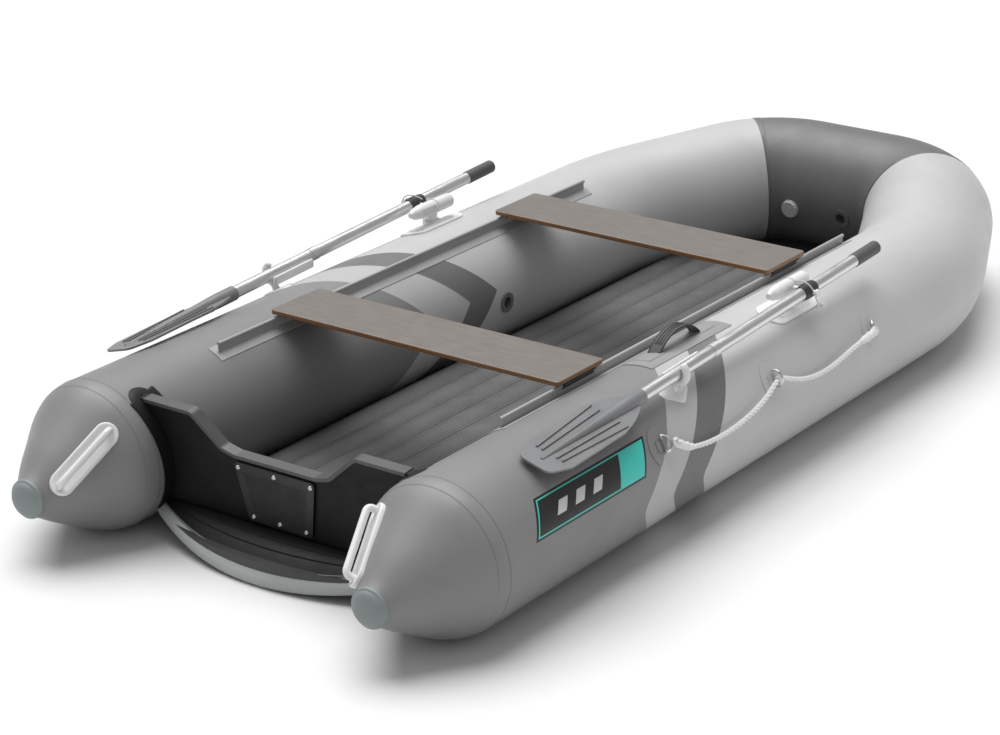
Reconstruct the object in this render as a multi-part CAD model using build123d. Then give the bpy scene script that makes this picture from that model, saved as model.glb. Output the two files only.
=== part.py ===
from build123d import *
import os
from math import acos, atan2, cos, degrees, pi, radians, sin, sqrt, tan

# Inflatable dinghy with a plywood transom, two thwarts and a pair of stowed oars. Millimetres.
# +Y points to the bow, +X to starboard, +Z up; the boat stands on z = 0. Stations ("y") are
# measured forward from the stern, and save() shifts everything so that y = 0 is amidships.

# ---- buoyancy tubes -------------------------------------------------------------------------
tube_r = 182.5            # outer radius of every air tube
tube_x = 497.0            # half the distance between the side tubes' centrelines
fabric = 1.2              # coated fabric, joints included
glue_gap = 0.2            # glued pieces stand this far off the fabric
split_y = 1200.0          # cross seam between the aft and the fore panels of a side tube
knee_y = 2373.0           # where the side tube's straight line would meet the diagonal
bow_corner = (273.3, 2882.0, tube_r + 29.5)   # where the diagonal would meet the bow tube's line
knee_bend, corner_bend = 620.0, 235.0  # centreline radii of the two bends
bow_seam = 286.0          # from amidships to the bow seam, along the bow's centreline
# ---- stern cones ----------------------------------------------------------------------------
cone_y = 250.0            # cone's base seam
cone_straight_y = 210.0   # its centreline has come into line with the tube's from here on
cone_tip_y = 8.0
cone_shape = ((60.0, 80.0), (110.0, 114.0), (155.0, 144.0), (190.0, 166.0), (222.0, 179.0))  # station, radius
cone_tip = (tube_x - 5.0, tube_r - 25.5)  # x and z of the small end's centre
cone_tip_r = 45.0
cap_depth = 16.0          # moulded cap over the small end
# ---- transom --------------------------------------------------------------------------------
transom_y = 280.0         # aft face at the top edge
transom_top, transom_foot = 335.0, 72.0
transom_rake = 0.12       # foot lies forward of the top by this much per unit of height
transom_t = 25.0
transom_half = tube_x - 105.0
notch_z, notch_half, notch_ease, notch_mouth = 255.0, 117.0, 155.0, 236.0
notch_ease_z, notch_round = 264.0, 24.0
trim_t, trim_grip = 2.0, 7.0     # edge profile: wall, and how far it reaches down each face
flap_t, flap_reach = 3.0, 34.0    # fabric holders along the board's two sides
pad_t, pad_top, pad_foot = 7.0, 243.0, 98.0
pad_half_top, pad_half_foot = 117.0, 92.0
screw_r, screw_head_r, screw_head_t = 2.5, 6.0, 3.5
screw_rows = ((231.0, 105.0), (110.0, 77.0))   # height and half spread of each row of three
screw_clear = 0.1
# ---- bottom ---------------------------------------------------------------------------------
bottom_aft, bottom_aft_side, bottom_fore = 200.0, 292.0, 2790.0   # aft end, amidships and beside a tube
bottom_half, bottom_top, bottom_side_z = tube_x - 135.0, 58.0, 52.0
bottom_nose_half, bottom_taper, bottom_rise = 210.0, 2250.0, 20.0   # shape under the bow
bottom_gap = 1.0          # between the bottom and the tubes
keel_half, keel_t = 30.0, 3.0
floor_aft, floor_fore = 345.0, 2500.0
floor_half = tube_x - 173.0
floor_base, floor_web_z, rib_count, rib_crown = 60.0, 78.0, 9, 12.0
air_wall = 1.2
# ---- thwarts and their rails ----------------------------------------------------------------
rail_x = tube_x - 84.0
seat_width, seat_t, seat_overhang = 186.0, 12.0, 13.0   # overhang past the rail
seat_len = 2 * (rail_x + seat_overhang)
seat_top = 2 * tube_r + 25.0
seat_aft_y, seat_fore_y = 785.0, 1706.0    # aft edges
rope_r, web_t = 4.5, 1.5
rail_aft, rail_fore = 579.0, 2109.0
rail_skirt = 7.5          # degrees of tube that each side of the rail's glued base covers
slider_wall, slider_clear, slider_len, slider_flange = 2.5, 0.5, 120.0, 28.0
# ---- handles --------------------------------------------------------------------------------
grip_ends = ((152.0, 35.0), (130.0, 180.0))   # stern handle's ends: angle round the cone, station
grip_base_w, grip_base_t, grip_bar_r, grip_rise, grip_post = 46.0, 5.0, 8.0, 26.0, 16.0
carry_x, carry_aft, carry_fore, carry_rise = tube_x - 27.0, 1112.0, 1300.0, 44.0
carry_w, carry_t = 34.0, 4.0
carry_patch_aft, carry_patch_fore = 1030.0, 1382.0
carry_patch_angle, carry_patch_half = 95.5, 13.0
# ---- lifeline rings and their patches -------------------------------------------------------
ring_stations = ((860.0, 27.3), (1349.0, 27.3), (1823.0, 22.0))   # station, angle round the tube
ring_wire, ring_bow_r, ring_clear = 2.6, 21.0, 0.3
patch_r, patch_t = 48.0, 1.5
tab_w, tab_l, tab_t = 24.0, 44.0, 1.8
ring_lay = (25.0, 90.0, 25.0)     # how far each ring stands up from the tube, in degrees
line_d = 13.0
leash_d, knot_r = 3.5, 7.5
# ---- valves ---------------------------------------------------------------------------------
valve_y, bow_capped_x, bow_open_x, bow_valve_angle = 1607.0, -92.0, 76.0, 188.0
valve_flange_r, valve_flange_t, valve_cup_r, valve_bore_r = 27.0, 3.0, 18.0, 15.0
valve_depth, valve_floor = 26.0, 4.0
plunger_r, plunger_fit, plunger_head_r, seal_r = 3.0, 0.05, 5.0, 14.0
plunger_stop = 0.3        # play between the seal and the cup's floor
cap_r, cap_t, cap_plug, cap_gap = 24.0, 7.0, 8.0, 0.4
# ---- oars and rowlocks ----------------------------------------------------------------------
oar_x, pivot_y, pivot_z = tube_x + 108.0, 1593.0, 2 * tube_r + 42.0
oar_slope = 0.045         # the stowed oar rises towards the bow
shaft_r, shaft_wall = 16.0, 1.2
blade_tip, blade_root, joint_reach = 1158.0, 769.0, 445.0   # aft of the pivot, along the oar
grip_start, grip_end = 228.0, 344.0                         # forward of it
spigot_len, spigot_gap = 90.0, 0.15
collar_wall, collar_len = 1.6, 26.0
collar_r = shaft_r + collar_wall
sleeve_wall, sleeve_len = 4.5, 56.0
sleeve_r = shaft_r + sleeve_wall
handgrip_wall = 1.5
handgrip_r = shaft_r + handgrip_wall
blade_half, blade_t, blade_roll, blade_tip_round = 62.0, 5.0, 16.0, 22.0
socket_wall, socket_len = 3.0, 60.0
socket_r = shaft_r + socket_wall
swivel_x = tube_x + 53.0
stud_r, stud_fit, stud_knob_r = 6.0, 0.05, 9.5
pod_r = 19.0
pod_aft, pod_fore = 92.0, 82.0    # how far the pod reaches each way from the swivel axis
base_len, base_w, base_t, boss_r = 222.0, 84.0, 4.0, 24.0
base_angle = 73.0
swivel_gap = 0.5
# ---- oar clips ------------------------------------------------------------------------------
clip_y, clip_angle, clip_plate_l, clip_plate_w, clip_plate_t = 1008.0, 59.0, 92.0, 86.0, 3.5
clip_gap, clip_wall, clip_arm_w, clip_bar_len = 1.0, 7.0, 34.0, 150.0


# Derived places -------------------------------------------------------------------------------
bow_front = bow_corner[1] + tube_r
stern_back = cone_tip_y - cap_depth
mid_y = (bow_front + stern_back) / 2
skin_in = tube_r - fabric
patch_in, patch_out = tube_r + glue_gap, tube_r + glue_gap + patch_t
ring_lift = glue_gap + patch_t + ring_clear + ring_wire + tab_t   # the ring's bar, above the tube
shaft_line = Vector(0, 1, oar_slope).normalized()


def save(name, *solids):
    """Write one node, shifted so that the origin lies under the middle of the boat."""
    moved = [Pos(0, -mid_y, 0) * s for s in solids]
    export_step(moved[0] if len(moved) == 1 else Compound(children=moved), f"parts/{name}.step")


def mirrored(shape):
    return mirror(shape, about=Plane.YZ)


def turned(plane, angle):
    """The same plane, turned in itself."""
    return Plane(plane.location * Location((0, 0, 0), (0, 0, angle)))


def both_sides(name, maker):
    """Make the starboard piece, and its mirror image for the port side."""
    shape = maker()
    save(f"{name}_starboard", shape)
    save(f"{name}_port", mirrored(shape))


def round_tube(angle, radius=tube_r):
    """x and z of a point on the straight starboard tube; 0 degrees is outboard, 90 the crown."""
    return tube_x + radius * cos(radians(angle)), tube_r + radius * sin(radians(angle))


def along_y(radius, y0, y1, x=tube_x, z=tube_r):
    return Pos(x, (y0 + y1) / 2, z) * Rot(90, 0, 0) * Cylinder(radius, y1 - y0)


def tube_plane(y, angle, radius=tube_r):
    """A plane on the straight tube: its z is the outward normal and its x points forward."""
    x, z = round_tube(angle, radius)
    return Plane(origin=(x, y, z), x_dir=(0, 1, 0), z_dir=(cos(radians(angle)), 0, sin(radians(angle))))


def bow_plane(x, angle, radius=tube_r):
    """A plane on the transverse bow tube: angle 180 faces aft, and its x points to port."""
    ny, nz = cos(radians(angle)), sin(radians(angle))
    return Plane(origin=(x, bow_corner[1] + radius * ny, bow_corner[2] + radius * nz),
                 x_dir=(-1, 0, 0), z_dir=(0, ny, nz))


def tube_skin(y0, y1, inner, outer):
    """A length of sleeve round the straight tube."""
    return along_y(outer, y0, y1) - along_y(inner, y0 - 1, y1 + 1)


# Air tubes ------------------------------------------------------------------------------------
def half_hull(radius):
    """The starboard half of the hull tube: side, knee, diagonal, corner and half the bow."""
    path = FilletPolyline((tube_x, cone_y, tube_r), (tube_x, knee_y, tube_r), bow_corner,
                          (0, bow_corner[1], bow_corner[2]), radius=[knee_bend, corner_bend])
    section = Plane(origin=(tube_x, cone_y, tube_r), x_dir=(1, 0, 0), z_dir=(0, 1, 0)) * Circle(radius)
    return sweep(section, path=path)


def seam_plane():
    """The plane of the starboard bow seam, square to the centreline; its normal points outboard."""
    knee = Vector(tube_x, knee_y, tube_r)
    corner = Vector(*bow_corner)
    diagonal = (knee - corner).normalized()
    across = Vector(1, 0, 0)
    turn = radians(across.get_angle(diagonal))
    start = corner - across * (corner_bend * tan(turn / 2))
    swung = (bow_seam - start.X) / corner_bend
    inward = (diagonal - across * diagonal.dot(across)).normalized()
    centre = start + inward * corner_bend
    spot = centre - inward * (corner_bend * cos(swung)) + across * (corner_bend * sin(swung))
    return Plane(origin=spot, z_dir=across * cos(swung) + inward * sin(swung))


def valve_hole(plane):
    return plane * Cylinder(valve_cup_r + glue_gap, 4 * fabric)


def hull_panels():
    """Aft and fore panels of the starboard tube, and the starboard half of the bow tube."""
    outer, inner = half_hull(tube_r), half_hull(skin_in)
    skin = outer - inner
    aft = skin & Pos(tube_x, cone_y + (split_y - cone_y) / 2, tube_r) * Box(
        3 * tube_r, split_y - cone_y, 3 * tube_r)
    rest = skin - Pos(tube_x, split_y - 2 * tube_r, tube_r) * Box(3 * tube_r, 4 * tube_r, 3 * tube_r)
    rest = rest - Pos(tube_x, cone_y + 2 * tube_r, tube_r) * Box(3 * tube_r, 5 * tube_r, 3 * tube_r)
    seam = seam_plane()
    fore = split(rest, bisect_by=seam, keep=Keep.TOP)
    bow = split(rest, bisect_by=seam, keep=Keep.BOTTOM)
    fore = fore - valve_hole(tube_plane(valve_y, 180))
    return aft, fore, bow


def bow_bulkhead():
    """Fabric diaphragm that parts the side chamber from the bow chamber."""
    return seam_plane() * Cylinder(skin_in - glue_gap, fabric)


def cone_centre(y):
    """x and z of the cone's centreline, and how far y is from its small end to its straight part."""
    share = min((y - cone_tip_y) / (cone_straight_y - cone_tip_y), 1)
    return cone_tip[0] + share * (tube_x - cone_tip[0]), cone_tip[1] + share * (tube_r - cone_tip[1])


def cone_stations():
    return [(cone_tip_y, cone_tip_r), *cone_shape, (cone_y, tube_r)]


def cone_solid(shrink):
    """The inflated cone, rounding into the tube at its base."""
    rings = []
    for y, radius in reversed(cone_stations()):
        x, z = cone_centre(y)
        rings.append(Plane(origin=(x, y, z), x_dir=(1, 0, 0), z_dir=(0, -1, 0)) * Circle(radius - shrink))
    return loft(rings)


def cone():
    return cone_solid(0) - cone_solid(fabric)


def cone_cap():
    """Domed cap with ring ridges, closing the cone's small end."""
    rim = cone_tip_r + 2
    outline = Polyline((0, 0), (rim, 0), (rim, 5), (rim - 4, 9), (rim - 10, 10), (rim - 12, 13),
                       (rim - 20, 13.5), (rim - 23, cap_depth), (0, cap_depth), (0, 0))
    dome = revolve(Plane.XZ * make_face(outline), axis=Axis.Z)
    return Plane(origin=(cone_tip[0], cone_tip_y, cone_tip[1]), x_dir=(1, 0, 0), z_dir=(0, -1, 0)) * dome


# Transom --------------------------------------------------------------------------------------
rake_angle = degrees(atan2(transom_rake, 1))
up_board = 1 / cos(radians(rake_angle))     # length along the board for a unit of height


def board_plane(depth=0.0):
    """Plane on the board's aft face, moved forward by depth; local y is up the board."""
    base = Plane(origin=(0, transom_y + transom_rake * transom_top, 0), x_dir=(1, 0, 0),
                 z_dir=(0, -cos(radians(rake_angle)), -sin(radians(rake_angle))))
    return base.offset(-depth)


def board_points():
    half = [(transom_half, transom_foot), (transom_half, transom_top), (notch_mouth, transom_top),
            (notch_ease, notch_ease_z), (notch_half, notch_z)]
    points = half + [(-x, z) for x, z in reversed(half)]
    return [(x, z * up_board) for x, z in points]


def board_outline():
    """The board with its notch; the notch's corners are eased."""
    outline = make_face(Polyline(*board_points(), close=True))
    inner = [v for v in outline.vertices() if abs(v.X) < transom_half - 1]
    return fillet(inner, notch_round)


def slab(outline, depth0, depth1):
    """A plate between two depths forward of the board's aft face."""
    return extrude(board_plane(depth1) * outline, depth1 - depth0)


def clear_of_tubes(shape, gap):
    far = tube_skin(0, split_y, tube_r - 60, tube_r + gap) + along_y(tube_r - 60, 0, split_y)
    return shape - far - mirrored(far)


def screw_places():
    return [(x, z * up_board) for z, spread in screw_rows for x in (-spread, 0, spread)]


def screw_holes():
    radius = screw_r + screw_clear
    reach = transom_t + 2 * pad_t
    return [board_plane(transom_t / 2) * Pos(x, z, 0) * Cylinder(radius, reach * 2)
            for x, z in screw_places()]


def transom_board():
    board = clear_of_tubes(slab(board_outline(), 0, transom_t), glue_gap)
    for hole in screw_holes():
        board -= hole
    return board


def transom_trim():
    """U-shaped profile over the top edge and round the motor notch."""
    outer = offset(board_outline(), trim_t, kind=Kind.INTERSECTION)
    inner = offset(board_outline(), -trim_grip, kind=Kind.INTERSECTION)
    reach = transom_half - 2 * trim_grip
    window = Pos(0, transom_top * up_board) * Rectangle(2 * reach, 2 * (transom_top - notch_z + 2 * trim_grip))
    band = (outer - inner) & window
    return slab(band, -trim_t, transom_t + trim_t) - slab(board_outline(), 0, transom_t)


def transom_flaps():
    """Fabric holders glued to the tube, ahead of the board and behind it."""
    sleeve = tube_skin(0, split_y, tube_r + glue_gap, tube_r + glue_gap + flap_t)
    window = Pos(tube_x - tube_r, (transom_foot + transom_top) / 2 * up_board) * Rectangle(
        tube_r * 1.3, (transom_top - transom_foot) * up_board)
    aft = sleeve & slab(window, -flap_reach, -trim_t - glue_gap)
    fore = sleeve & slab(window, transom_t + trim_t + glue_gap, transom_t + flap_reach)
    return aft, fore


def motor_pad():
    corners = [(pad_half_foot, pad_foot), (pad_half_top, pad_top), (-pad_half_top, pad_top),
               (-pad_half_foot, pad_foot)]
    outline = make_face(Polyline(*[(x, z * up_board) for x, z in corners], close=True))
    outline = fillet(outline.vertices(), 9)
    pad = slab(outline, -pad_t, 0)
    for hole in screw_holes():
        pad -= hole
    return pad


def pad_screws():
    face = board_plane(-pad_t)
    shank = transom_t + pad_t
    return [face * (Pos(x, z, screw_head_t / 2) * Cylinder(screw_head_r, screw_head_t)
                    + Pos(x, z, -shank / 2) * Cylinder(screw_r, shank)) for x, z in screw_places()]


# Bottom ---------------------------------------------------------------------------------------
def bottom_outline(inset):
    """Plan of the bottom: a bowed aft edge, parallel sides, drawn in under the bow."""
    half, nose = bottom_half - inset, bottom_nose_half - inset
    aft_side = bottom_aft_side + inset
    sides = Polyline((half, aft_side), (half, bottom_taper), (nose, bottom_fore - inset),
                     (-nose, bottom_fore - inset), (-half, bottom_taper), (-half, aft_side))
    aft = ThreePointArc((-half, aft_side), (0, bottom_aft + inset), (half, aft_side))
    return make_face(sides + aft)


def bottom_block(inset):
    """The bottom drawn in by inset all round: bowed section, swept up under the bow."""
    low, high = bottom_side_z + inset, bottom_top - inset
    sides = Polyline((bottom_half, low), (bottom_half, high), (-bottom_half, high), (-bottom_half, low))
    section = make_face(sides + ThreePointArc((-bottom_half, low), (0, keel_t + inset), (bottom_half, low)))
    length = bottom_fore - bottom_aft
    solid = extrude(Plane(origin=(0, bottom_fore, 0), x_dir=(1, 0, 0), z_dir=(0, -1, 0)) * section, length)
    solid = solid & extrude(bottom_outline(inset), bottom_top)
    sweep_up = Plane(origin=(0, bottom_taper, keel_t + inset), x_dir=(1, 0, 0),
                     z_dir=(0, -bottom_rise, bottom_fore - bottom_taper))
    solid = split(solid, bisect_by=sweep_up, keep=Keep.TOP)
    tubes = half_hull(tube_r + bottom_gap + inset)
    stern = along_y(tube_r + bottom_gap + inset, 0, cone_y + 1)
    for side in (tubes, mirrored(tubes), stern, mirrored(stern)):
        solid = solid - side
    return solid


def air_bottom():
    """Inflated bottom between the tubes, carried aft under the transom."""
    return bottom_block(0) - bottom_block(air_wall)


def keel_strip():
    length = bottom_taper - bottom_aft
    return Pos(0, bottom_aft + length / 2, keel_t / 2 - glue_gap / 2) * Box(2 * keel_half, length,
                                                                          keel_t - glue_gap)


def ribbed_section(inset):
    """Cross section of the floor: a flat base with a row of shallow crowns."""
    half = floor_half
    rib_pitch = 2 * floor_half / rib_count
    height = floor_web_z - floor_base
    shape = Pos(0, floor_base + height / 2) * Rectangle(2 * (half - inset), height - 2 * inset)
    crown_r = (rib_pitch**2 / 4 + rib_crown**2) / (2 * rib_crown)
    for i in range(rib_count):
        centre = (i - (rib_count - 1) / 2) * rib_pitch
        bulge = Pos(centre, floor_web_z + rib_crown - crown_r) * Circle(crown_r - inset)
        slot = Pos(centre, floor_web_z + rib_crown / 2 - inset) * Rectangle(rib_pitch - 2 * inset, rib_crown + 2)
        shape += bulge & slot
    return shape


def floor_block(inset):
    plane = Plane(origin=(0, floor_fore - inset, 0), x_dir=(1, 0, 0), z_dir=(0, -1, 0))
    block = extrude(plane * ribbed_section(inset), floor_fore - floor_aft - 2 * inset)
    tubes = half_hull(tube_r + bottom_gap + inset)
    return block - tubes - mirrored(tubes)


def floor_mattress():
    """Ribbed inflated floor, resting just above the bottom."""
    return floor_block(0) - floor_block(air_wall)


# Thwarts --------------------------------------------------------------------------------------
rail_angle = degrees(acos((rail_x - tube_x) / tube_r))
rope_z = seat_top - seat_t - slider_wall - slider_clear - rope_r - slider_wall


def seat_board(aft_edge):
    board = Box(seat_len, seat_width, seat_t)
    board = fillet(board.edges().filter_by(Axis.Z), 10)
    board = fillet(board.edges().group_by(Axis.Z)[-1] + board.edges().group_by(Axis.Z)[0], 2.5)
    return Pos(0, aft_edge + seat_width / 2, seat_top - seat_t / 2) * board


def seat_slider(aft_edge):
    """Channel under one end of a thwart, gripping the rail's bolt rope from above."""
    bore = rope_r + slider_clear
    y0 = aft_edge + (seat_width - slider_len) / 2
    shell = along_y(bore + slider_wall, y0, y0 + slider_len, rail_x, rope_z)
    flange_z = seat_top - seat_t - slider_wall / 2
    plate = Pos(rail_x, y0 + slider_len / 2, flange_z) * Box(slider_flange, slider_len, slider_wall)
    neck = Pos(rail_x, y0 + slider_len / 2, rope_z + bore + slider_wall / 2) * Box(
        2 * bore, slider_len, slider_wall + 1)
    slot = Pos(rail_x, y0 + slider_len / 2, rope_z - bore) * Box(web_t + 4 * slider_clear, slider_len + 2,
                                                                 2 * bore)
    return shell + plate + neck - along_y(bore, y0 - 1, y0 + slider_len + 1, rail_x, rope_z) - slot


def seat_rail():
    """Bolt rope in a fabric flap, with the flap's two skirts glued to the tube."""
    rope = along_y(rope_r, rail_aft, rail_fore, rail_x, rope_z)
    foot = tube_r + sqrt(tube_r**2 - (tube_x - rail_x)**2)
    web = Pos(rail_x, (rail_aft + rail_fore) / 2, (foot + rope_z) / 2) * Box(
        web_t, rail_fore - rail_aft, rope_z - foot + 2)
    base = tube_r + glue_gap
    skirt = tube_skin(rail_aft - 12, rail_fore + 12, base, base + web_t)
    x, z = round_tube(rail_angle, tube_r)
    span = 2 * tube_r * sin(radians(rail_skirt))
    window = Pos(x, (rail_aft + rail_fore) / 2, z) * Rot(0, 90 - rail_angle, 0) * Box(
        span, rail_fore - rail_aft + 24, span)
    return rope + web - along_y(base, rail_aft - 1, rail_fore + 1) + (skirt & window)


# Handles --------------------------------------------------------------------------------------
def cone_point(angle, y):
    """A point on the cone's skin at a station."""
    stations = cone_stations()
    (y0, r0), (y1, r1) = next((a, b) for a, b in zip(stations, stations[1:]) if a[0] <= y <= b[0])
    radius = r0 + (r1 - r0) * (y - y0) / (y1 - y0)
    x, z = cone_centre(y)
    return Vector(x + radius * cos(radians(angle)), y, z + radius * sin(radians(angle)))


def handle_plane():
    aft, fore = (cone_point(*end) for end in grip_ends)
    angle = radians((grip_ends[0][0] + grip_ends[1][0]) / 2)
    slope = (tube_r - cone_tip_r) / (cone_straight_y - cone_tip_y)
    normal = Vector(cos(angle), -slope, sin(angle)).normalized()
    run = (fore - aft).normalized()
    middle = cone_point(degrees(angle), (aft.Y + fore.Y) / 2)
    return Plane(origin=middle, x_dir=run, z_dir=normal), (fore - aft).length


def stern_handle():
    """Moulded grip: an oblong base, two posts and a round bar to hold."""
    plane, length = handle_plane()
    base = extrude(SlotOverall(length + 16, grip_base_w), grip_base_t + 6)
    base = Pos(0, 0, -6) * base
    bar_half = length / 2 - grip_post
    bar = Pos(0, 0, grip_rise) * Rot(0, 90, 0) * Cylinder(grip_bar_r, 2 * bar_half)
    posts = [Pos(side * bar_half, 0, grip_rise / 2) * Cylinder(grip_bar_r, grip_rise) for side in (-1, 1)]
    ends = [Pos(side * bar_half, 0, grip_rise) * Sphere(grip_bar_r) for side in (-1, 1)]
    handle = plane * (base + bar + posts[0] + posts[1] + ends[0] + ends[1])
    return handle - cone_solid(-glue_gap)


def carry_patch():
    skin = tube_skin(carry_patch_aft, carry_patch_fore, patch_in, patch_out)
    x, z = round_tube(carry_patch_angle)
    span = 2 * tube_r * sin(radians(carry_patch_half))
    window = Pos(x, (carry_patch_aft + carry_patch_fore) / 2, z) * Rot(0, 90 - carry_patch_angle, 0) * Box(
        span, carry_patch_fore - carry_patch_aft, span)
    return skin & window


def carry_webbing():
    """Webbing arch over the starboard tube, for lifting the boat."""
    crown = tube_r + sqrt(tube_r**2 - (tube_x - carry_x)**2)
    middle = (carry_aft + carry_fore) / 2
    half = (carry_fore - carry_aft) / 2
    radius = (half**2 + carry_rise**2) / (2 * carry_rise)
    centre = crown + carry_rise - radius
    ring = Circle(radius) - Circle(radius - carry_t)
    band = ring & Pos(0, radius - carry_rise / 2 - 3) * Rectangle(3 * half, carry_rise + 6)
    arch = extrude(Plane(origin=(carry_x - carry_w / 2, middle, centre), x_dir=(0, 1, 0), z_dir=(1, 0, 0))
                   * band, carry_w)
    return arch - along_y(patch_out + glue_gap, carry_patch_aft - 60, carry_patch_fore + 60)


# Rings ----------------------------------------------------------------------------------------
def ring_patch(plane, skin):
    """Round patch that follows the tube, with a webbing tab sewn round the ring's bar."""
    disc = skin & (plane * Cylinder(patch_r, 60))
    tab = Pos(0, 0, glue_gap + patch_t + tab_t / 2) * Box(tab_l, tab_w, tab_t)
    loop = Pos(0, 0, ring_lift) * Rot(90, 0, 0) * (Cylinder(ring_wire + tab_t, tab_w)
                                              - Cylinder(ring_wire + ring_clear, tab_w + 2))
    return disc + plane * (tab + loop)


def d_ring(plane, lay):
    """D-shaped wire ring: a straight bar inside the tab, and a bow that stands up by lay degrees."""
    bar = Rot(90, 0, 0) * Cylinder(ring_wire, 2 * ring_bow_r)
    bow = revolve(Plane(origin=(0, ring_bow_r, 0), x_dir=(0, 1, 0), z_dir=(1, 0, 0)) * Circle(ring_wire),
                  axis=Axis.Z, revolution_arc=-180)
    knees = [Pos(0, side * ring_bow_r, 0) * Sphere(ring_wire) for side in (-1, 1)]
    ring = bar + bow + knees[0] + knees[1]
    return plane * Pos(0, 0, ring_lift) * Rot(0, -lay, 0) * ring


def line_ring_planes():
    """The three lifeline rings; the foremost faces aft, so that the line pulls both ends inwards."""
    planes = [tube_plane(y, angle) for y, angle in ring_stations]
    planes[2] = turned(planes[2], 180)
    return planes


def line_patches():
    skin = tube_skin(ring_stations[0][0] - 2 * patch_r, ring_stations[-1][0] + 2 * patch_r,
                     patch_in, patch_out)
    return [ring_patch(plane, skin) for plane in line_ring_planes()]


def line_rings():
    return [d_ring(plane, lay) for plane, lay in zip(line_ring_planes(), ring_lay)]


# Valves ---------------------------------------------------------------------------------------
def valve_body(plane):
    """Flanged cup through the tube wall, with a pierced floor for the plunger."""
    flange = Pos(0, 0, valve_flange_t / 2 + glue_gap) * Cylinder(valve_flange_r, valve_flange_t)
    cup = Pos(0, 0, (valve_flange_t - valve_depth) / 2) * Cylinder(valve_cup_r, valve_depth + valve_flange_t)
    bore_len = valve_depth + valve_flange_t - valve_floor
    bore = Pos(0, 0, valve_flange_t + glue_gap + 1 - bore_len / 2) * Cylinder(valve_bore_r, bore_len + 2)
    hole = Pos(0, 0, -valve_depth) * Cylinder(plunger_r + plunger_fit, 4 * valve_floor)
    return plane * (flange + cup - bore - hole)


def valve_plunger(plane):
    """Stem with a push head above the cup's floor and a seal below it."""
    floor_top = -valve_depth + valve_floor - 1
    stem_top = floor_top + 12
    seal_top = -valve_depth - plunger_stop
    stem = Pos(0, 0, (stem_top + seal_top) / 2) * Cylinder(plunger_r, stem_top - seal_top)
    head = Pos(0, 0, stem_top) * Cylinder(plunger_head_r, 3)
    seal = Pos(0, 0, seal_top - 1) * Cylinder(seal_r, 2)
    return plane * (stem + head + seal)


def valve_cap(plane):
    """Screwed cap with a ribbed edge and a plug that enters the cup."""
    seat = valve_flange_t + glue_gap + cap_gap
    disc = Pos(0, 0, seat + cap_t / 2) * Cylinder(cap_r, cap_t)
    plug = Pos(0, 0, seat - cap_plug / 2) * Cylinder(valve_bore_r - cap_gap, cap_plug)
    for i in range(12):
        disc -= Rot(0, 0, 30 * i) * Pos(cap_r + 1.5, 0, seat + cap_t / 2) * Cylinder(3, cap_t + 1)
    return plane * (disc + plug)


# Oars -----------------------------------------------------------------------------------------
def oar_plane(reach, roll=0.0):
    """Plane across the oar, reach millimetres forward of the pivot; its z runs along the oar."""
    spot = Vector(oar_x, pivot_y, pivot_z) + shaft_line * reach
    return turned(Plane(origin=spot, x_dir=(1, 0, 0), z_dir=shaft_line), roll)


def oar_bar(radius, start, end):
    return oar_plane((start + end) / 2) * Cylinder(radius, end - start)


def stud_bore():
    return Pos(oar_x, pivot_y, pivot_z) * Rot(0, 90, 0) * Cylinder(stud_r + stud_fit, 4 * sleeve_r)


def oar_shaft_lower():
    return oar_bar(shaft_r, -blade_root - socket_len / 2, -joint_reach) - oar_bar(
        shaft_r - shaft_wall, -blade_root - socket_len / 2 - 1, -joint_reach + 1)


def oar_shaft_upper():
    """Upper half: its spigot slides into the lower half as far as the collar."""
    outer = oar_bar(shaft_r, -joint_reach, grip_end - 12)
    collar = oar_bar(collar_r, -joint_reach, -joint_reach + collar_len)
    spigot_r = shaft_r - shaft_wall - spigot_gap
    spigot = oar_bar(spigot_r, -joint_reach - spigot_len, -joint_reach)
    hollow = oar_bar(spigot_r - shaft_wall, -joint_reach - spigot_len - 1, grip_end - 11)
    return outer + collar + spigot - hollow - stud_bore()


def oar_sleeve():
    """Rubber bush that the rowlock's stud passes through, thickest at its middle."""
    half = sleeve_len / 2
    outline = Polyline((0, -half), (sleeve_r - 2.5, -half), (sleeve_r, -half / 3), (sleeve_r, half / 3),
                       (sleeve_r - 2.5, half), (0, half), close=True)
    barrel = revolve(Plane.XZ * make_face(outline), axis=Axis.Z)
    return oar_plane(0) * barrel - oar_bar(shaft_r, -sleeve_len, sleeve_len) - stud_bore()


def oar_grip():
    return fillet(oar_bar(handgrip_r, grip_start, grip_end).edges(), 4) - oar_bar(
        shaft_r, grip_start - 1, grip_end - 12)


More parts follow.
